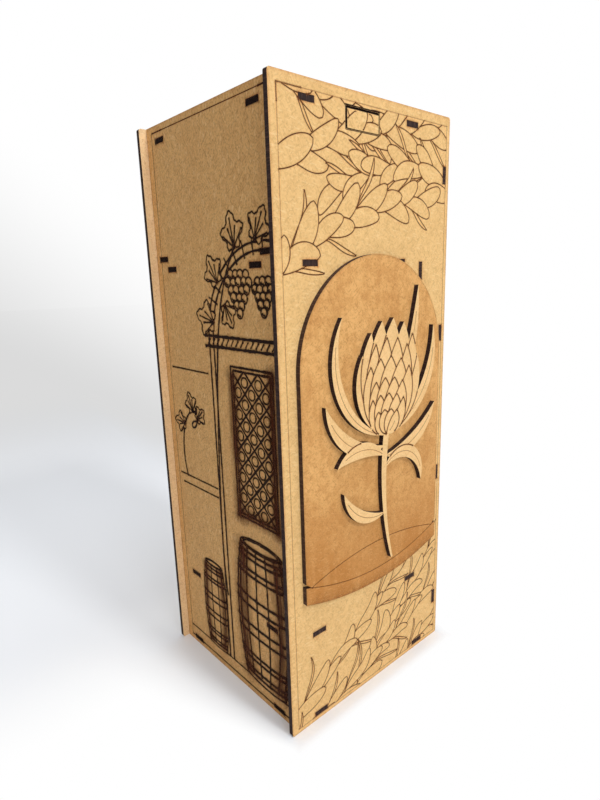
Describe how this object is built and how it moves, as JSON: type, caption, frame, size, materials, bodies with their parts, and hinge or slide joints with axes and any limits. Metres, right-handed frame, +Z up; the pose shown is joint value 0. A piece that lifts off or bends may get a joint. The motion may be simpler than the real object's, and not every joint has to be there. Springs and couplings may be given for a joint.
{
  "type": "wine puzzle box",
  "caption": "Upright tab-jointed wooden wine box with a back that slides up, a hidden push-through latch, a sliding gate behind the bottle's neck and a raised flower on a bell-shaped plate.",
  "frame": {"origin": "on the table, under the middle of the box's whole footprint, with the raised bell plate and flower counted in the depth", "axes": "+X to the right seen from the front, +Y from the flower front to the sliding back, +Z up"},
  "size_m": [0.14, 0.134, 0.35],
  "materials": {
    "light_board": "raw laser-cut fibreboard with dark charred edges",
    "dark_board": "darker laser-cut fibreboard with dark charred edges",
    "inner_strip": "raw laser-cut fibreboard strip",
    "dowel": "raw beech dowel"
  },
  "bodies": {
    "case": {"front_panel": "light_board", "left_panel": "light_board", "right_panel": "light_board", "bottom_board": "light_board", "bottle_ring_board": "light_board", "neck_board": "light_board", "keeper_board": "light_board", "top_board": "light_board", "inner_wall": "light_board", "bell_plate": "dark_board", "flower_relief": "light_board", "rear_stile_left": "inner_strip", "rear_stile_right": "inner_strip", "latch_rail_left": "inner_strip", "latch_rail_right": "inner_strip", "latch_strap_front": "inner_strip", "latch_strap_rear": "inner_strip", "gate_guide_front_left": "inner_strip", "gate_guide_front_right": "inner_strip", "gate_guide_rear_left": "inner_strip", "gate_guide_rear_right": "inner_strip"},
    "sliding_back": {"back_panel": "light_board", "runner_spacer_left": "inner_strip", "runner_spacer_right": "inner_strip", "runner_strip_left": "inner_strip", "runner_strip_right": "inner_strip"},
    "latch": {"latch_tile": "light_board", "latch_bar": "inner_strip", "latch_front_block": "inner_strip", "latch_nose": "inner_strip"},
    "gate": {"neck_gate": "inner_strip", "gate_peg": "dowel"}
  },
  "joints": [
    {"name": "back_slide", "type": "slide", "parent": "case", "child": "sliding_back", "axis": [0, 0, 1], "range_m": [0, 0.344]},
    {"name": "latch_slide", "type": "slide", "parent": "case", "child": "latch", "axis": [0, 1, 0], "range_m": [0, 0.003]},
    {"name": "gate_slide", "type": "slide", "parent": "case", "child": "gate", "axis": [1, 0, 0], "range_m": [0, 0.0426]}
  ]
}
